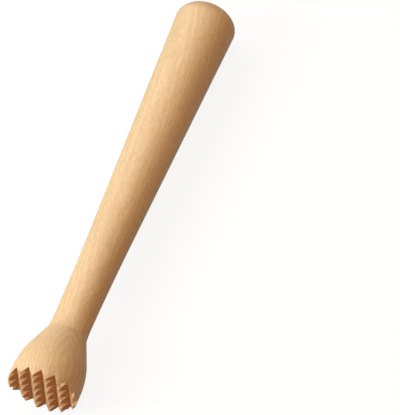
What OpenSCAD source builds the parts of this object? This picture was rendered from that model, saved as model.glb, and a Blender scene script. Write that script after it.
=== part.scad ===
// Kraut stomper: a turned beech handle glued by a round tenon into a turned head.
// The head's working face is cut by V-grooves into rows of crests, and by narrower cross grooves
// into short teeth.
// Each piece is turned upright from the tooth tips at height 0, then laid on its side,
// touching the floor with the head's rim and the widest ring of the handle.

/* [Head] */
// Diameter of the head across its straight rim
head_d = 47; // [36:1:70]
// Height of the head from the tooth tips to the neck joint
head_h = 45; // [38:1:70]
// Height of the straight rim above the tooth tips
rim_h = 10; // [7:0.5:20]
// Radius of the eased edge between the rim and the toothed face
rim_round = 2; // [0.5:0.1:4]
// Radius of the rounded shoulder above the rim
shoulder_r = 52; // [15:1:80]

/* [Teeth] */
// Distance from one groove to the next, both ways across the face
groove_pitch = 8.8; // [6:0.2:14]
// Angle between the two walls of a groove
groove_angle = 78; // [60:1:100]
// Width of the flat left on the crest between two grooves
crest_w = 0.4; // [0.2:0.1:2]
// Angle between the two walls of a cross groove
cross_angle = 60; // [45:1:90]
// Length of crest left between two cross grooves
crest_len = 3.4; // [1:0.2:5]

/* [Handle] */
// Length of the handle from the neck joint to its domed end
handle_len = 260; // [160:5:400]
// Diameter of the handle at its narrowest, just above the neck joint
neck_d = 25.6; // [20:0.2:34]
// Widening of the radius from the narrowest place down to the neck joint
neck_flare = 0.6; // [0.2:0.1:2]
// Length over which the neck widens towards the joint
flare_len = 9; // [4:1:20]
// Length over which the neck eases into the straight taper
sweep_len = 76; // [30:2:130]
// Diameter of the handle at its widest, where the domed end starts
grip_d = 41; // [30:1:50]
// Height of the domed end
end_rise = 14; // [6:0.5:20]

/* [Neck joint] */
// Diameter of the handle's tenon
tenon_d = 16; // [10:0.5:18]
// Length of the tenon
tenon_len = 24; // [15:1:28]
// Chamfer around the end of the tenon
tenon_chamfer = 1; // [0.4:0.1:2]
// Radial room for glue between the tenon and its socket
glue_clear = 0.15; // [0.05:0.05:0.4]
// Room left under the end of the tenon
socket_clear = 1; // [0.5:0.1:2]

/* [Hidden] */

$fn = 96;
// Straight stretches that stand for each curve of a profile
curve_steps = 14;
// Straight stretches that stand for the rim's eased edge
edge_steps = 6;
// Length by which a cut runs past the surface it opens
cut_over = 2;
// Largest share of the plain arc from rim to neck that the shoulder may take
shoulder_limit = 0.96;

head_r = head_d / 2;
neck_r = neck_d / 2;
grip_r = grip_d / 2;
tenon_r = tenon_d / 2;
socket_r = tenon_r + glue_clear;
// Both pieces have this radius where they meet at the neck joint
joint_r = neck_r + neck_flare;

// Shoulder: an arc that leaves the rim straight up and a cone from that arc to the neck joint
dome_h = head_h - rim_h;
dome_step = head_r - joint_r;
plain_arc_r = (dome_h * dome_h + dome_step * dome_step) / (2 * dome_step);
shoulder_fit = min(shoulder_r, shoulder_limit * plain_arc_r);
shoulder_mid = [head_r - shoulder_fit, rim_h];
joint_from_mid = [joint_r, head_h] - shoulder_mid;
shoulder_turn = atan2(joint_from_mid[1], joint_from_mid[0]) - acos(shoulder_fit / norm(joint_from_mid));

// Grooves: as many as cross the face on each side of the one through its middle
grooves_each_side = floor(head_r / groove_pitch);

// Handle: the taper grows over the sweep and then stays the same up to the domed end
side_len = handle_len - end_rise;
taper = (grip_r - neck_r) / eased(side_len);

// Lying pose: tilt that lowers the handle until the rim's top edge and the widest ring are level
grip_z = head_h + side_len;
lie_tilt = atan((head_r - grip_r) / (grip_z - rim_h));
lie_lift = head_r * cos(lie_tilt) + rim_h * sin(lie_tilt);
lie_mid = (head_h + handle_len) / 2;

wood = [0.86, 0.67, 0.44];
wood_end = [0.80, 0.58, 0.36];

// Length of a slope that starts flat, steepens over the sweep and then runs straight
function eased(s) = s < sweep_len ? s * s / (2 * sweep_len) : s - sweep_len / 2;

// Extra radius at distance s above the neck joint
function flare(s) = s < flare_len ? neck_flare * pow(1 - s / flare_len, 2) : 0;

// Radius of the handle at distance s above the neck joint
function handle_r(s) = neck_r + flare(s) + taper * eased(s);

// Profile points of the handle's side from distance s0 up to, but not at, distance s1
function side_points(s0, s1) =
    [for (i = [0 : curve_steps - 1]) let (s = s0 + (s1 - s0) * i / curve_steps) [handle_r(s), s]];

// Profile points of the domed end, a quarter of an ellipse
function end_points() =
    [for (i = [0 : curve_steps]) let (a = 90 * i / curve_steps)
        [grip_r * cos(a), side_len + end_rise * sin(a)]];

// Profile points of the rim's eased edge, from the face to the straight rim
function edge_points() =
    [for (i = [0 : edge_steps]) let (a = 90 * i / edge_steps)
        [head_r, rim_round] - rim_round * [1 - sin(a), cos(a)]];

// Profile points of the shoulder's arc
function shoulder_points() =
    [for (i = [0 : curve_steps]) let (a = shoulder_turn * i / curve_steps)
        shoulder_mid + shoulder_fit * [cos(a), sin(a)]];

// Lays an upright piece on its side along X, teeth towards -X, middle of its length at the origin
module lying() {
    translate([-lie_mid, 0, lie_lift]) rotate([0, 90 + lie_tilt, 0]) children();
}

// One straight V-groove along Y, as long as the face is wide
module vee_groove(half_w, angle) {
    slope = tan(angle / 2);
    mouth = half_w + cut_over * slope;
    rotate([90, 0, 0])
        linear_extrude(height = head_d + 2 * cut_over, center = true)
            polygon([[-mouth, -cut_over], [mouth, -cut_over], [0, half_w / slope]]);
}

// One set of parallel grooves, with a strip of the face left between each two
module groove_set(strip, angle) {
    for (k = [-grooves_each_side : grooves_each_side])
        translate([k * groove_pitch, 0, 0]) vee_groove((groove_pitch - strip) / 2, angle);
}

// Turned head with its socket and its toothed face
module head() {
    socket_h = tenon_len + socket_clear;
    color(wood_end) lying() difference() {
        rotate_extrude()
            polygon(concat([[0, 0]], edge_points(), shoulder_points(), [[joint_r, head_h], [0, head_h]]));
        translate([0, 0, head_h - socket_h]) cylinder(r = socket_r, h = socket_h + cut_over);
        groove_set(crest_len, cross_angle);
        rotate([0, 0, 90]) groove_set(crest_w, groove_angle);
    }
}

// Turned handle with its tenon
module handle() {
    tenon = [[0, -tenon_len], [tenon_r - tenon_chamfer, -tenon_len],
        [tenon_r, -tenon_len + tenon_chamfer], [tenon_r, 0]];
    side = concat(side_points(0, flare_len), side_points(flare_len, sweep_len));
    color(wood) lying() translate([0, 0, head_h])
        rotate_extrude() polygon(concat(tenon, side, end_points()));
}

head();
handle();
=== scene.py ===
"""Kraut stomper: models the turned handle and the toothed head in beech, and sets up a plain studio stage.

Lengths are metres. Both pieces are turned upright, with the tooth tips at height 0, and are then laid down
as the frame lies.
"""
import math

import bmesh
import bpy
from mathutils import Matrix, Vector


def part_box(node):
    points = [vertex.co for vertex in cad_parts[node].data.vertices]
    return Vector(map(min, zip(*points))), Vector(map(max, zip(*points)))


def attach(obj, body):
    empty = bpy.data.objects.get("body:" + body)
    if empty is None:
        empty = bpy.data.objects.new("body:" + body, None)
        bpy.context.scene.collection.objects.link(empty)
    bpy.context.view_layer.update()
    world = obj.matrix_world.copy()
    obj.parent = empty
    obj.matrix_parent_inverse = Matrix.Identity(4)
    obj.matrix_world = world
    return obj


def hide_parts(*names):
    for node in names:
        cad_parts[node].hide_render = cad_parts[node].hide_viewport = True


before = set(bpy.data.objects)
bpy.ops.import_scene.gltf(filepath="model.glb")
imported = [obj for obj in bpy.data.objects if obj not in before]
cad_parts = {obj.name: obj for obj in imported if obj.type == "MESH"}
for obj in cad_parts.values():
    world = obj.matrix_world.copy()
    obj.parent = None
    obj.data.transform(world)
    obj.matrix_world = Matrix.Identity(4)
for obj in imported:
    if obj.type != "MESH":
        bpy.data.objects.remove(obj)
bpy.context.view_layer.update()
HEAD_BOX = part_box("head")
HANDLE_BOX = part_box("handle")

bl_info = {
    "name": "Kraut stomper",
    "version": (1, 0, 0),
    "blender": (4, 5, 0),
    "location": "View3D > Sidebar > Stomper",
    "description": "Turned beech kraut stomper with a toothed head, on a plain studio stage",
    "category": "Object",
}

MM = 0.001

# Segments round a turned piece
LATHE_SEGMENTS = 144
# Steps in each curve of a turned profile, and in the rim's eased edge
CURVE_STEPS = 16
EDGE_STEPS = 6
# How far a wedge stands out of the face that it cuts
OVERCUT = 0.1 * MM
# Corners of a wedge that are nearer than this become one
WEDGE_MERGE = 0.01 * MM
# Decimals of a metre by which corners are told apart
PLACE_DECIMALS = 8
# Edges of the teeth that turn by more than this are softened, in so many segments
SHARP_TURN = math.radians(30)
SOFT_SEGMENTS = 2
# Faces that meet at less than this are shaded as one
SMOOTH_TURN = math.radians(25)

# Slope of the grain against the stomper's length
RUN_OUT = math.radians(10)
# Sizes below are across and along the grain. Ranges are the stretch of a value that counts.
NOISE_ROUGHNESS = 0.55
# Width of the growth rings, distance of their middle from the stomper's, and how they wander
RING_WIDTH = 2.6 * MM
PITH_OFFSET = 55 * MM
WAVER_SIZE = (14 * MM, 90 * MM)
WAVER_DEPTH = 9 * MM
# Broad light and dark stretches of wood
TONE_SIZE = (11 * MM, 70 * MM)
TONE_RANGE = (0.3, 0.7)
TONE_SHARE = 0.35
# Fine fibre
FIBRE_SIZE = (0.7 * MM, 6.5 * MM)
FIBRE_RANGE = (0.33, 0.67)
FIBRE_SHARE = 0.65
FIBRE_DETAIL = 3.0
# Short ray flecks, fine ones and fainter broad ones
FINE_FLECK_SIZE = (0.42 * MM, 2.8 * MM)
FINE_FLECK_RANGE = (0.54, 0.68)
BROAD_FLECK_SIZE = (0.8 * MM, 7 * MM)
BROAD_FLECK_RANGE = (0.52, 0.72)
BROAD_FLECK_SHARE = 0.4
FLECK_DETAIL = 1.0
# What a full fleck takes off the height of the bump, which the fibre gives
FLECK_DENT = 0.6
# End grain is paler at the crests and darker deeper in the grooves, a painted shade: its tint fades in
# between these depths, and the crests keep this share of it
GROOVE_SHADE_DEPTH = (0.1 * MM, 1.5 * MM)
CREST_TINT_SHARE = 0.35
# How far a wall faces the tooth tips where its lighter colour starts and where it is full: painted light on
# the cross groove walls and crests
LIT_WALL_FACING = (0.3, 0.45)
# Shares of the rings and of the flecks that show on end grain
END_RINGS = 0.8
END_PORES = 0.5
# Roughness between the flecks and on them, and what full end grain adds
ROUGHNESS = (0.60, 0.70)
END_ROUGHNESS = 0.3
BUMP_STRENGTH = 0.25
BUMP_DISTANCE = 0.05 * MM

# Height of the picture that the camera frames, in pixels
PICTURE_HEIGHT = 415
# Farthest that the camera sees
CAMERA_REACH = 50
WHITE = (1, 1, 1, 1)
FLOOR_SIZE = 8
# Floor's tone for the light on the stomper and for the camera, and the share of plain white that the
# camera sees
FLOOR_TONES = (0.25, 0.95)
FLOOR_WHITE = 0.88
# Soft boxes: the way to each from the stomper's middle, along the picture's right, along its up and towards
# the camera, then its width and its colour
SOFT_BOXES = {
    "Key": ((-0.866, 0, 0.5), 0.9, (0.83, 0.94, 1)),
    "Top": ((-0.399, 0.848, 0.349), 0.9, (0.66, 0.88, 1)),
    "Fill": ((0.2, 0.502, 0.841), 0.9, (1, 0.66, 0.32)),
    "Front": ((0, -0.751, 0.661), 0.4, (1, 0.50, 0.20)),
}
SOFT_BOX_DISTANCE = 1.3

COLOUR = "NodeSocketColor"
VALUE = "NodeSocketFloat"
VECTOR = "NodeSocketVector"


class StomperHead(bpy.types.PropertyGroup):
    """Sizes of the turned head and its teeth."""

    diameter: bpy.props.FloatProperty(
        name="Diameter", description="Width of the head across its straight rim",
        default=HEAD_BOX[1].y - HEAD_BOX[0].y, unit="LENGTH")
    height: bpy.props.FloatProperty(
        name="Height", description="Tooth tips to neck joint", default=45 * MM, unit="LENGTH")
    rim_height: bpy.props.FloatProperty(
        name="Rim height", description="Straight rim above the tooth tips", default=10 * MM, unit="LENGTH")
    rim_round: bpy.props.FloatProperty(
        name="Rim rounding", description="Radius of the rim's eased lower edge",
        default=2 * MM, unit="LENGTH")
    shoulder_radius: bpy.props.FloatProperty(
        name="Shoulder radius", description="Rounding from the rim to the neck",
        default=52 * MM, unit="LENGTH")
    socket_radius: bpy.props.FloatProperty(
        name="Socket radius", description="Bore that takes the tenon", default=8.15 * MM, unit="LENGTH")
    socket_depth: bpy.props.FloatProperty(
        name="Socket depth", description="Depth of the bore from the neck joint",
        default=25 * MM, unit="LENGTH")
    groove_pitch: bpy.props.FloatProperty(
        name="Groove pitch", description="One groove to the next", default=8.8 * MM, unit="LENGTH")
    groove_angle: bpy.props.FloatProperty(
        name="Groove angle", description="Angle between a groove's walls",
        default=math.radians(78), subtype="ANGLE")
    crest_width: bpy.props.FloatProperty(
        name="Crest width", description="Flat left between two grooves", default=0.4 * MM, unit="LENGTH")
    cross_angle: bpy.props.FloatProperty(
        name="Cross angle", description="Angle between a cross groove's walls",
        default=math.radians(60), subtype="ANGLE")
    crest_length: bpy.props.FloatProperty(
        name="Crest length", description="Crest left between two cross grooves",
        default=3.4 * MM, unit="LENGTH")
    edge_rounding: bpy.props.FloatProperty(
        name="Edge rounding", description="Softening of the cut edges", default=0.18 * MM, unit="LENGTH")


class StomperHandle(bpy.types.PropertyGroup):
    """Sizes of the turned handle and its tenon."""

    length: bpy.props.FloatProperty(
        name="Length", description="Neck joint to domed end", default=260 * MM, unit="LENGTH")
    grip_diameter: bpy.props.FloatProperty(
        name="Grip diameter", description="Widest place, below the domed end",
        default=HANDLE_BOX[1].y - HANDLE_BOX[0].y, unit="LENGTH")
    neck_diameter: bpy.props.FloatProperty(
        name="Neck diameter", description="Narrowest place, above the joint",
        default=25.6 * MM, unit="LENGTH")
    neck_flare: bpy.props.FloatProperty(
        name="Neck flare", description="Extra radius at the neck joint", default=0.6 * MM, unit="LENGTH")
    flare_length: bpy.props.FloatProperty(
        name="Flare length", description="Stretch that widens to the joint", default=9 * MM, unit="LENGTH")
    sweep_length: bpy.props.FloatProperty(
        name="Sweep length", description="Stretch that eases into the taper", default=76 * MM, unit="LENGTH")
    end_rise: bpy.props.FloatProperty(
        name="End rise", description="Height of the domed end", default=14 * MM, unit="LENGTH")
    tenon_radius: bpy.props.FloatProperty(
        name="Tenon radius", description="Round tenon in the head's socket", default=8 * MM, unit="LENGTH")
    tenon_length: bpy.props.FloatProperty(
        name="Tenon length", description="Reach of the tenon below the joint", default=24 * MM, unit="LENGTH")
    tenon_chamfer: bpy.props.FloatProperty(
        name="Tenon chamfer", description="Bevel around the tenon's end", default=1 * MM, unit="LENGTH")


class StomperFinish(bpy.types.PropertyGroup):
    """Colours of the beech."""

    pale: bpy.props.FloatVectorProperty(
        name="Pale wood", description="Lightest wood between the flecks", subtype="COLOR",
        default=(0.67, 0.440, 0.246))
    deep: bpy.props.FloatVectorProperty(
        name="Deep wood", description="Darker bands of the growth rings", subtype="COLOR",
        default=(0.575, 0.355, 0.178))
    fleck: bpy.props.FloatVectorProperty(
        name="Fleck", description="Short rays of the grain", subtype="COLOR", default=(0.38, 0.200, 0.086))
    cut: bpy.props.FloatVectorProperty(
        name="Cut end grain", description="Groove walls across the grain", subtype="COLOR",
        default=(0.63, 0.315, 0.130))
    cut_ring: bpy.props.FloatVectorProperty(
        name="Cut rings", description="Darker rings and pores on the groove walls", subtype="COLOR",
        default=(0.48, 0.220, 0.080))
    # Painted light: a lighter colour that stands in for the light on the cross groove walls and crests
    lit_wall: bpy.props.FloatVectorProperty(
        name="Painted light on walls", description="Cross groove walls and crests, lighter as painted light", subtype="COLOR",
        default=(0.71, 0.49, 0.275))


class StomperStage(bpy.types.PropertyGroup):
    """Camera and lights."""

    aim: bpy.props.FloatVectorProperty(
        name="Aim", description="Point in the middle of the picture", subtype="TRANSLATION",
        default=(11.22 * MM, -45.25 * MM, 17.14 * MM))
    distance: bpy.props.FloatProperty(
        name="Distance", description="Camera to aim", default=3.2427, unit="LENGTH")
    azimuth: bpy.props.FloatProperty(
        name="Azimuth", description="Way the camera looks, turned from +Y towards +X",
        default=math.radians(65.24), subtype="ANGLE")
    elevation: bpy.props.FloatProperty(
        name="Elevation", description="Camera above the floor", default=math.radians(60.98), subtype="ANGLE")
    roll: bpy.props.FloatProperty(
        name="Roll", description="Lean of the picture's up to its right",
        default=math.radians(4.30), subtype="ANGLE")
    focal_pixels: bpy.props.FloatProperty(
        name="Focal length in pixels", description="Focal length over the size of a pixel", default=5000)
    key_power: bpy.props.FloatProperty(
        name="Key power", description="Soft box on the picture's left", default=23, subtype="POWER")
    top_power: bpy.props.FloatProperty(
        name="Top power", description="Cool soft box beyond the handle's end, for its sheen",
        default=11.4, subtype="POWER")
    fill_power: bpy.props.FloatProperty(
        name="Fill power", description="Warm soft box above the camera and a little to its right",
        default=9, subtype="POWER")
    front_power: bpy.props.FloatProperty(
        name="Front power", description="Low warm soft box before the teeth", default=2.3, subtype="POWER")
    world_light: bpy.props.FloatProperty(
        name="Room light", description="Strength of the even light all round", default=0.02)


def start_clean():
    """Leaves edit mode and deselects everything, so that an operator touches only what comes next."""
    if bpy.context.mode != "OBJECT":
        bpy.ops.object.mode_set(mode="OBJECT")
    bpy.ops.object.select_all(action="DESELECT")


def pick(piece):
    """Makes one piece the active and the only selected one, in object mode."""
    start_clean()
    piece.select_set(True)
    bpy.context.view_layer.objects.active = piece


def sizes():
    """The head's and the handle's sizes."""
    scene = bpy.context.scene
    return scene.stomper_head, scene.stomper_handle


def lying_matrix():
    """Lays an upright piece along X, on the top edge of the rim and the widest ring of the handle."""
    head, handle = sizes()
    drop = (head.diameter - handle.grip_diameter) / 2
    run = head.height + handle.length - handle.end_rise - head.rim_height
    tilt = math.atan(drop / run)
    lift = head.diameter / 2 * math.cos(tilt) + head.rim_height * math.sin(tilt)
    middle = (head.height + handle.length) / 2
    return Matrix.Translation((-middle, 0, lift)) @ Matrix.Rotation(math.pi / 2 + tilt, 4, "Y")


def even_steps(last, count):
    """Values in even steps, from the first step past 0 to the last value."""
    return [last * (i + 1) / count for i in range(count)]


def rim_profile(head):
    """Radius and height along the rim's eased edge, from the face to the straight rim."""
    ease = head.rim_round
    mid = Vector((head.diameter / 2 - ease, ease))
    return [(mid.x + ease * math.sin(angle), mid.y - ease * math.cos(angle))
            for angle in [0] + even_steps(math.pi / 2, EDGE_STEPS)]


def shoulder_profile(head, joint):
    """Radius and height along the head's side: an arc that leaves the rim upright and a cone to the joint."""
    radius = head.diameter / 2
    mid = Vector((radius - head.shoulder_radius, head.rim_height))
    to_joint = Vector((joint, head.height)) - mid
    turn = math.atan2(to_joint.y, to_joint.x) - math.acos(head.shoulder_radius / to_joint.length)
    curve = [(mid.x + head.shoulder_radius * math.cos(angle), mid.y + head.shoulder_radius * math.sin(angle))
             for angle in even_steps(turn, CURVE_STEPS)]
    return [(radius, head.rim_height)] + curve + [(joint, head.height)]


def socket_profile(head):
    """Radius and height down the bore for the tenon."""
    return [(head.socket_radius, head.height), (head.socket_radius, head.height - head.socket_depth)]


def tenon_profile(handle):
    """Radius and height from the neck joint along the tenon, from its end up."""
    radius, foot = handle.tenon_radius, -handle.tenon_length
    return [(radius - handle.tenon_chamfer, foot), (radius, foot + handle.tenon_chamfer), (radius, 0)]


def handle_radius(handle, above):
    """Radius of the handle at a distance above the neck joint."""
    sweep = handle.sweep_length

    def eased(run):
        return run * run / (2 * sweep) if run < sweep else run - sweep / 2

    neck = handle.neck_diameter / 2
    taper = (handle.grip_diameter / 2 - neck) / eased(handle.length - handle.end_rise)
    flare = handle.neck_flare * max(0, 1 - above / handle.flare_length) ** 2
    return neck + flare + taper * eased(above)


def handle_profile(handle):
    """Radius and height from the neck joint along the handle's side, to just under the top of the dome."""
    side = handle.length - handle.end_rise
    stops = [0, handle.flare_length, handle.sweep_length, side]
    heights = [0]
    for low, high in zip(stops, stops[1:]):
        heights += [low + step for step in even_steps(high - low, CURVE_STEPS)]
    grip = handle.grip_diameter / 2
    dome = [(grip * math.cos(angle), side + handle.end_rise * math.sin(angle))
            for angle in even_steps(math.pi / 2, CURVE_STEPS)[:-1]]
    return [(handle_radius(handle, above), above) for above in heights] + dome


def turn_on_lathe(name, profile):
    """Starts from a disc and draws it along the profile's radii and heights. The piece stays in edit mode."""
    start_clean()
    radius, height = profile[0]
    bpy.ops.mesh.primitive_circle_add(
        vertices=LATHE_SEGMENTS, radius=radius, fill_type="NGON", location=(0, 0, 0), enter_editmode=True)
    bpy.ops.transform.translate(value=(0, 0, height))
    piece = bpy.context.object
    piece.name = piece.data.name = name
    for wide, high in profile[1:]:
        bpy.ops.mesh.extrude_region_move(TRANSFORM_OT_translate={"value": (0, 0, high - height)})
        bpy.ops.transform.resize(value=(wide / radius, wide / radius, 1), center_override=(0, 0, high))
        radius, height = wide, high
    return piece


def groove_cutter(head, angle, crest, quarter_turn):
    """One set of parallel wedges, as a piece that the grooves are cut with."""
    slope = math.tan(angle / 2)
    half = (head.groove_pitch - crest) / 2
    each_side = math.floor(head.diameter / 2 / head.groove_pitch)
    reach = head.diameter / 2 + head.groove_pitch
    first = -each_side * head.groove_pitch
    start_clean()
    bpy.ops.mesh.primitive_plane_add(size=1, location=(0, 0, 0), enter_editmode=True)
    cutter = bpy.context.object
    bpy.ops.transform.resize(value=(2 * (half + OVERCUT * slope), 2 * reach, 1))
    bpy.ops.transform.translate(value=(first, 0, -OVERCUT))
    bpy.ops.mesh.extrude_region_move(TRANSFORM_OT_translate={"value": (0, 0, OVERCUT + half / slope)})
    bpy.ops.transform.resize(value=(0, 1, 1), center_override=(first, 0, 0))
    bpy.ops.mesh.select_all(action="SELECT")
    bpy.ops.mesh.remove_doubles(threshold=WEDGE_MERGE)
    bpy.ops.mesh.normals_make_consistent(inside=False)
    for _ in range(2 * each_side):
        bpy.ops.mesh.duplicate_move(TRANSFORM_OT_translate={"value": (head.groove_pitch, 0, 0)})
    start_clean()
    if quarter_turn:
        cutter.data.transform(Matrix.Rotation(math.pi / 2, 4, "Z"))
    return cutter


def cut_teeth(piece, head):
    """Cuts the cross grooves and the grooves into the head's face."""
    sets = ((head.cross_angle, head.crest_length, False), (head.groove_angle, head.crest_width, True))
    for angle, crest, quarter_turn in sets:
        cutter = groove_cutter(head, angle, crest, quarter_turn)
        pick(piece)
        cut = piece.modifiers.new("Grooves", "BOOLEAN")
        cut.operation = "DIFFERENCE"
        cut.solver = "EXACT"
        cut.object = cutter
        bpy.ops.object.modifier_apply(modifier=cut.name)
        bpy.data.meshes.remove(cutter.data)


def settle_order(piece):
    """Rebuilds the mesh with its corners and faces sorted by place, as each run numbers them differently."""
    start_clean()
    places = [tuple(round(part, PLACE_DECIMALS) for part in vertex.co) for vertex in piece.data.vertices]
    faces = []
    for polygon in piece.data.polygons:
        corners = [places[i] for i in polygon.vertices]
        corners = [place for before, place in zip(corners[-1:] + corners, corners) if place != before]
        if len(corners) > 2:
            first = corners.index(min(corners))
            faces.append(corners[first:] + corners[:first])
    mesh = bmesh.new()
    made = {place: mesh.verts.new(place) for place in sorted(set(places))}
    for corners in sorted(faces):
        mesh.faces.new([made[place] for place in corners])
    mesh.to_mesh(piece.data)
    mesh.free()


def soften_cut_edges(piece, head):
    """Bevels the sharp edges of the teeth and of the rim between them."""
    pick(piece)
    bpy.ops.object.mode_set(mode="EDIT")
    bpy.ops.mesh.select_mode(type="EDGE")
    bpy.ops.mesh.select_all(action="SELECT")
    bpy.ops.mesh.remove_doubles(threshold=head.edge_rounding)
    bpy.ops.mesh.select_all(action="DESELECT")
    mesh = bmesh.from_edit_mesh(piece.data)
    for edge in mesh.edges:
        below_shoulder = all(corner.co.z < head.rim_height for corner in edge.verts)
        edge.select = below_shoulder and edge.calc_face_angle(0) > SHARP_TURN
    bmesh.update_edit_mesh(piece.data)
    bpy.ops.mesh.bevel(offset=head.edge_rounding, segments=SOFT_SEGMENTS, affect="EDGES", clamp_overlap=False)


def finish_piece(piece, node, material):
    """Faces the mesh outwards, lays the piece down, smooths it and puts it in the node's place."""
    pick(piece)
    bpy.ops.object.mode_set(mode="EDIT")
    bpy.ops.mesh.select_all(action="SELECT")
    bpy.ops.mesh.normals_make_consistent(inside=False)
    bpy.ops.object.mode_set(mode="OBJECT")
    piece.matrix_world = lying_matrix()
    bpy.ops.object.transform_apply(location=True, rotation=True, scale=True)
    bpy.ops.object.shade_smooth_by_angle(angle=SMOOTH_TURN)
    piece.data.materials.clear()
    piece.data.materials.append(material)
    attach(piece, "root")
    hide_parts(node)


def feed(tree, node, inputs):
    """Puts plain values or other nodes' outputs on a node's named or numbered inputs."""
    for key, value in inputs.items():
        if isinstance(value, bpy.types.NodeSocket):
            tree.links.new(value, node.inputs[key])
        else:
            node.inputs[key].default_value = value


def add_node(tree, kind, inputs=None, **settings):
    """A node with its plain settings and what is fed to its inputs."""
    node = tree.nodes.new(kind)
    for key, value in settings.items():
        setattr(node, key, value)
    feed(tree, node, inputs or {})
    return node


def new_group(name, inputs, outputs):
    """An empty shader node group with its sockets. Returns the tree, its input node and its output node."""
    tree = bpy.data.node_groups.new(name, "ShaderNodeTree")
    for way, sockets in (("INPUT", inputs), ("OUTPUT", outputs)):
        for socket, kind in sockets.items():
            tree.interface.new_socket(name=socket, in_out=way, socket_type=kind)
    return tree, tree.nodes.new("NodeGroupInput"), tree.nodes.new("NodeGroupOutput")


def arithmetic(tree, operation, *values):
    """A math node on sockets or numbers."""
    return add_node(tree, "ShaderNodeMath", dict(enumerate(values)), operation=operation).outputs[0]


def colour_mix(tree, factor, first, second):
    """A colour between two others."""
    mix = add_node(tree, "ShaderNodeMix", {"Factor": factor, "A": first, "B": second}, data_type="RGBA")
    return mix.outputs["Result"]


def between(tree, value, low, high, start=0.0):
    """A value brought from low..high to start..1 with soft ends."""
    ramp = add_node(tree, "ShaderNodeMapRange",
                    {"Value": value, "From Min": low, "From Max": high, "To Min": start},
                    interpolation_type="SMOOTHSTEP")
    return ramp.outputs["Result"]


def spread(tree, value, start, end):
    """A value brought from 0..1 to start..end."""
    return add_node(tree, "ShaderNodeMapRange",
                    {"Value": value, "To Min": start, "To Max": end}).outputs["Result"]


def stretched_noise(tree, vector, size, detail=2.0):
    """Noise whose features have about that size across and along the grain."""
    across, along = size
    squeeze = add_node(tree, "ShaderNodeVectorMath", {0: vector, 1: (1 / across, 1 / across, 1 / along)},
                       operation="MULTIPLY")
    noise = add_node(tree, "ShaderNodeTexNoise", {
        "Vector": squeeze.outputs[0], "Scale": 1.0, "Detail": detail, "Roughness": NOISE_ROUGHNESS})
    return noise.outputs["Fac"]


def growth_rings(tree, vector):
    """Wavering rings round the tree's pith, which lies beside the stomper. 1 is the dark side of a ring."""
    parts = add_node(tree, "ShaderNodeSeparateXYZ", {0: vector})
    from_pith = add_node(tree, "ShaderNodeCombineXYZ", {
        "X": arithmetic(tree, "ADD", parts.outputs["X"], PITH_OFFSET), "Y": parts.outputs["Y"]})
    distance = add_node(tree, "ShaderNodeVectorMath", {0: from_pith.outputs[0]}, operation="LENGTH")
    waver = arithmetic(tree, "MULTIPLY", stretched_noise(tree, vector, WAVER_SIZE), WAVER_DEPTH)
    wavering = arithmetic(tree, "ADD", distance.outputs["Value"], waver)
    turns = arithmetic(tree, "MULTIPLY", wavering, 2 * math.pi / RING_WIDTH)
    return arithmetic(tree, "MULTIPLY_ADD", arithmetic(tree, "SINE", turns), 0.5, 0.5)


def beech_grain_group():
    """Growth rings, broad tone, short ray flecks and fine fibre of beech, with the grain along Z."""
    tree, given, result = new_group(
        "Beech grain",
        {"Vector": VECTOR, "Pale": COLOUR, "Deep": COLOUR, "Fleck": COLOUR, "Fleck amount": VALUE,
         "Ring amount": VALUE},
        {"Color": COLOUR, "Shade": VALUE, "Flecks": VALUE, "Height": VALUE})
    vector = given.outputs["Vector"]
    rings = arithmetic(tree, "MULTIPLY", growth_rings(tree, vector), given.outputs["Ring amount"])
    tone = between(tree, stretched_noise(tree, vector, TONE_SIZE), *TONE_RANGE)
    fibre = stretched_noise(tree, vector, FIBRE_SIZE, FIBRE_DETAIL)
    streaks = between(tree, fibre, *FIBRE_RANGE)
    shade = arithmetic(tree, "ADD", rings, arithmetic(tree, "MULTIPLY", tone, TONE_SHARE))
    shade = arithmetic(tree, "ADD", shade, arithmetic(tree, "MULTIPLY", streaks, FIBRE_SHARE))
    ground = colour_mix(tree, shade, given.outputs["Pale"], given.outputs["Deep"])
    fine = between(tree, stretched_noise(tree, vector, FINE_FLECK_SIZE, FLECK_DETAIL), *FINE_FLECK_RANGE)
    broad = between(tree, stretched_noise(tree, vector, BROAD_FLECK_SIZE, FLECK_DETAIL), *BROAD_FLECK_RANGE)
    flecks = arithmetic(tree, "MAXIMUM", fine, arithmetic(tree, "MULTIPLY", broad, BROAD_FLECK_SHARE))
    strength = arithmetic(tree, "MULTIPLY", flecks, given.outputs["Fleck amount"])
    dents = arithmetic(tree, "MULTIPLY", flecks, FLECK_DENT)
    feed(tree, result, {
        "Color": colour_mix(tree, strength, ground, given.outputs["Fleck"]),
        "Shade": shade,
        "Flecks": flecks,
        "Height": arithmetic(tree, "SUBTRACT", fibre, dents),
    })
    return tree


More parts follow.
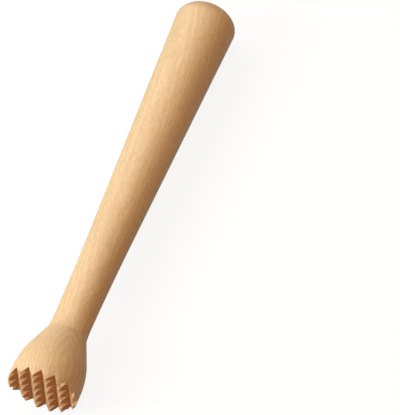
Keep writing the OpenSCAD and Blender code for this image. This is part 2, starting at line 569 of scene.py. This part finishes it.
def cut_end_group():
    """Tints end grain, which takes up more oil, with painted shade that keeps the tint weaker at the crests
    and full deeper in the grooves, and paints light as a lighter colour on walls that face the tips.
    """
    tree, given, result = new_group(
        "Cut end grain",
        {"Color": COLOUR, "Shade": VALUE, "Flecks": VALUE, "Position": VECTOR, "Normal": VECTOR,
         "Grain way": VECTOR, "Tip plane": VALUE, "Cut": COLOUR, "Cut ring": COLOUR, "Cut from": VALUE,
         "Cut to": VALUE, "Cut amount": VALUE, "Lit wall": COLOUR, "Lit wall amount": VALUE},
        {"Color": COLOUR, "Mask": VALUE})

    def along_grain(socket):
        ways = {0: given.outputs[socket], 1: given.outputs["Grain way"]}
        return add_node(tree, "ShaderNodeVectorMath", ways, operation="DOT_PRODUCT").outputs["Value"]

    facing = along_grain("Normal")
    across = between(tree, arithmetic(tree, "ABSOLUTE", facing),
                     given.outputs["Cut from"], given.outputs["Cut to"])
    depth = arithmetic(tree, "SUBTRACT", along_grain("Position"), given.outputs["Tip plane"])
    # Painted shade: the end grain tint is weaker at the crests and full deeper in the grooves
    groove_shade = between(tree, depth, *GROOVE_SHADE_DEPTH, start=CREST_TINT_SHARE)
    mask = arithmetic(tree, "MULTIPLY", across, groove_shade)
    mask = arithmetic(tree, "MULTIPLY", mask, given.outputs["Cut amount"])
    rings = arithmetic(tree, "MULTIPLY", given.outputs["Shade"], END_RINGS)
    pores = arithmetic(tree, "MULTIPLY", given.outputs["Flecks"], END_PORES)
    end = colour_mix(tree, arithmetic(tree, "ADD", rings, pores),
                     given.outputs["Cut"], given.outputs["Cut ring"])
    # Painted light: walls that face the tips, the cross groove walls, take the lighter colour
    to_tips = between(tree, arithmetic(tree, "MULTIPLY", facing, -1), *LIT_WALL_FACING)
    lit_wall = arithmetic(tree, "MULTIPLY", to_tips, given.outputs["Lit wall amount"])
    plain = colour_mix(tree, lit_wall, given.outputs["Color"], given.outputs["Lit wall"])
    feed(tree, result, {"Color": colour_mix(tree, mask, plain, end), "Mask": mask})
    return tree


def node_group(name, make):
    """The node group of that name, made once."""
    return bpy.data.node_groups.get(name) or make()


def beech_material(name, cut_range, cut_amount, lit_wall_amount, fleck_amount, ring_amount):
    """Sanded and oiled beech, its grain along the stomper. End grain starts and is full at the cut range."""
    finish = bpy.context.scene.stomper_finish
    material = bpy.data.materials.new(name)
    material.use_nodes = True
    tree = material.node_tree
    lying = lying_matrix()
    grain_way = lying.to_3x3() @ Vector((0, 0, 1))
    run_out = Matrix.Rotation(RUN_OUT, 3, "X")
    place = add_node(tree, "ShaderNodeTexCoord")
    upright = add_node(tree, "ShaderNodeMapping", {
        "Vector": place.outputs["Object"],
        "Rotation": (run_out @ lying.to_3x3().inverted()).to_euler(),
    }, vector_type="POINT")
    grain = add_node(tree, "ShaderNodeGroup", {
        "Vector": upright.outputs[0],
        "Pale": (*finish.pale, 1),
        "Deep": (*finish.deep, 1),
        "Fleck": (*finish.fleck, 1),
        "Fleck amount": fleck_amount,
        "Ring amount": ring_amount,
    }, node_tree=node_group("Beech grain", beech_grain_group))
    ends = add_node(tree, "ShaderNodeGroup", {
        "Color": grain.outputs["Color"],
        "Shade": grain.outputs["Shade"],
        "Flecks": grain.outputs["Flecks"],
        "Position": place.outputs["Object"],
        "Normal": place.outputs["Normal"],
        "Grain way": grain_way,
        "Tip plane": lying.to_translation().dot(grain_way),
        "Cut": (*finish.cut, 1),
        "Cut ring": (*finish.cut_ring, 1),
        "Cut from": cut_range[0],
        "Cut to": cut_range[1],
        "Cut amount": cut_amount,
        "Lit wall": (*finish.lit_wall, 1),
        "Lit wall amount": lit_wall_amount,
    }, node_tree=node_group("Cut end grain", cut_end_group))
    rough = spread(tree, grain.outputs["Flecks"], *ROUGHNESS)
    rougher = arithmetic(tree, "MULTIPLY", ends.outputs["Mask"], END_ROUGHNESS)
    bump = add_node(tree, "ShaderNodeBump", {
        "Height": grain.outputs["Height"], "Strength": BUMP_STRENGTH, "Distance": BUMP_DISTANCE})
    feed(tree, tree.nodes["Principled BSDF"], {
        "Base Color": ends.outputs["Color"],
        "Roughness": arithmetic(tree, "ADD", rough, rougher),
        "Normal": bump.outputs["Normal"],
    })
    return material


def plain_view(tree):
    """1 for rays from the camera, straight, mirrored or through glass, and 0 for light on the stomper."""
    path = add_node(tree, "ShaderNodeLightPath")
    mirrored = arithmetic(tree, "MAXIMUM", path.outputs["Is Glossy Ray"], path.outputs["Is Transmission Ray"])
    return arithmetic(tree, "MAXIMUM", path.outputs["Is Camera Ray"], mirrored)


def floor_material():
    """Pale floor that shows as white to the camera and keeps a faint shadow."""
    material = bpy.data.materials.new("Studio floor")
    material.use_nodes = True
    tree = material.node_tree
    tree.nodes.remove(tree.nodes["Principled BSDF"])
    seen = plain_view(tree)
    lit = add_node(tree, "ShaderNodeBsdfDiffuse", {"Color": spread(tree, seen, *FLOOR_TONES)})
    white = add_node(tree, "ShaderNodeEmission", {"Color": WHITE})
    mix = add_node(tree, "ShaderNodeMixShader", {
        0: arithmetic(tree, "MULTIPLY", seen, FLOOR_WHITE), 1: lit.outputs[0], 2: white.outputs[0]})
    feed(tree, tree.nodes["Material Output"], {"Surface": mix.outputs[0]})
    return material


def lay_floor():
    """A wide floor under the stomper."""
    start_clean()
    bpy.ops.mesh.primitive_plane_add(size=FLOOR_SIZE, location=(0, 0, 0))
    floor = bpy.context.object
    floor.name = "studio_floor"
    floor.data.materials.append(floor_material())


def light_room(stage):
    """Even room light, and white where the camera sees past the floor."""
    world = bpy.data.worlds.new("Studio")
    bpy.context.scene.world = world
    world.use_nodes = True
    tree = world.node_tree
    feed(tree, tree.nodes["Background"], {
        "Color": WHITE, "Strength": spread(tree, plain_view(tree), stage.world_light, 1.0)})


def camera_turn(stage):
    """Rotation of a camera that looks along the azimuth, down from the elevation, with the stage's roll."""
    level = Matrix.Rotation(-stage.azimuth, 3, "Z") @ Matrix.Rotation(math.pi / 2 - stage.elevation, 3, "X")
    return level @ Matrix.Rotation(-stage.roll, 3, "Z")


def hang_soft_boxes(stage, turn):
    """Square area lights, placed as the camera sees them, that shine at the stomper's middle."""
    powers = {"Key": stage.key_power, "Top": stage.top_power,
              "Fill": stage.fill_power, "Front": stage.front_power}
    for name, (way, size, colour) in SOFT_BOXES.items():
        data = bpy.data.lights.new(name, "AREA")
        data.size = size
        data.energy = powers[name]
        data.color = colour
        lamp = bpy.data.objects.new(name, data)
        bpy.context.scene.collection.objects.link(lamp)
        toward = (turn @ Vector(way)) * SOFT_BOX_DISTANCE
        lamp.location = toward
        lamp.rotation_euler = toward.to_track_quat("Z", "Y").to_euler()


def set_camera(stage, turn):
    """A camera that looks at the aim from its distance."""
    data = bpy.data.cameras.new("Camera")
    data.sensor_fit = "VERTICAL"
    data.lens = stage.focal_pixels * data.sensor_height / PICTURE_HEIGHT
    data.clip_end = CAMERA_REACH
    camera = bpy.data.objects.new("Camera", data)
    bpy.context.scene.collection.objects.link(camera)
    back = turn @ Vector((0, 0, 1))
    camera.matrix_world = Matrix.Translation(Vector(stage.aim) + back * stage.distance) @ turn.to_4x4()
    bpy.context.scene.camera = camera


class STOMPER_OT_handle(bpy.types.Operator):
    """Turn the handle with its tenon, taper and domed end"""

    bl_idname = "stomper.handle"
    bl_label = "Turned handle"

    def execute(self, context):
        head, handle = sizes()
        profile = [(radius, above + head.height)
                   for radius, above in tenon_profile(handle) + handle_profile(handle)]
        piece = turn_on_lathe("turned_handle", profile)
        top = head.height + handle.length
        bpy.ops.mesh.extrude_region_move(TRANSFORM_OT_translate={"value": (0, 0, top - profile[-1][1])})
        bpy.ops.mesh.merge(type="CENTER")
        settle_order(piece)
        wood = beech_material("Handle beech", cut_range=(0.3, 1.0), cut_amount=0.5, lit_wall_amount=0.0,
                              fleck_amount=0.36, ring_amount=0.4)
        finish_piece(piece, "handle", wood)
        return {"FINISHED"}


class STOMPER_OT_head(bpy.types.Operator):
    """Turn the head with its socket and cut its teeth"""

    bl_idname = "stomper.head"
    bl_label = "Toothed head"

    def execute(self, context):
        head, handle = sizes()
        joint = handle.neck_diameter / 2 + handle.neck_flare
        profile = rim_profile(head) + shoulder_profile(head, joint) + socket_profile(head)
        piece = turn_on_lathe("toothed_head", profile)
        bpy.ops.mesh.select_all(action="SELECT")
        bpy.ops.mesh.normals_make_consistent(inside=False)
        cut_teeth(piece, head)
        settle_order(piece)
        soften_cut_edges(piece, head)
        # The head's walls that face the tips get painted light, and its grooves painted shade
        wood = beech_material("Head beech", cut_range=(0.51, 0.62), cut_amount=1.0, lit_wall_amount=0.85,
                              fleck_amount=0.5, ring_amount=0.65)
        finish_piece(piece, "head", wood)
        return {"FINISHED"}


class STOMPER_OT_stage(bpy.types.Operator):
    """Set up the floor, the soft light and the camera"""

    bl_idname = "stomper.stage"
    bl_label = "Studio stage"

    def execute(self, context):
        context.scene.view_settings.view_transform = "Standard"
        stage = context.scene.stomper_stage
        turn = camera_turn(stage)
        lay_floor()
        light_room(stage)
        hang_soft_boxes(stage, turn)
        set_camera(stage, turn)
        return {"FINISHED"}


class STOMPER_PT_sidebar(bpy.types.Panel):
    """Lists the stomper's operators, sizes and colours"""

    bl_idname = "STOMPER_PT_sidebar"
    bl_label = "Kraut stomper"
    bl_space_type = "VIEW_3D"
    bl_region_type = "UI"
    bl_category = "Stomper"

    def draw(self, context):
        scene = context.scene
        for operator, group in ((STOMPER_OT_handle, scene.stomper_handle),
                                (STOMPER_OT_head, scene.stomper_head),
                                (STOMPER_OT_stage, scene.stomper_stage)):
            box = self.layout.box()
            box.operator(operator.bl_idname)
            for name in group.__annotations__:
                box.prop(group, name)
        for name in scene.stomper_finish.__annotations__:
            self.layout.prop(scene.stomper_finish, name)


GROUPS = {
    "stomper_head": StomperHead,
    "stomper_handle": StomperHandle,
    "stomper_finish": StomperFinish,
    "stomper_stage": StomperStage,
}
OTHER_CLASSES = (STOMPER_OT_handle, STOMPER_OT_head, STOMPER_OT_stage, STOMPER_PT_sidebar)


def register():
    """Adds the sizes to the scene, and the operators and the panel to Blender."""
    for name, group in GROUPS.items():
        bpy.utils.register_class(group)
        setattr(bpy.types.Scene, name, bpy.props.PointerProperty(type=group))
    for item in OTHER_CLASSES:
        bpy.utils.register_class(item)


def unregister():
    """Takes away what register adds."""
    for item in reversed(OTHER_CLASSES):
        bpy.utils.unregister_class(item)
    for name, group in GROUPS.items():
        delattr(bpy.types.Scene, name)
        bpy.utils.unregister_class(group)


def main():
    """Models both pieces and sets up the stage."""
    register()
    bpy.ops.stomper.handle()
    bpy.ops.stomper.head()
    bpy.ops.stomper.stage()


if __name__ == "__main__":
    main()
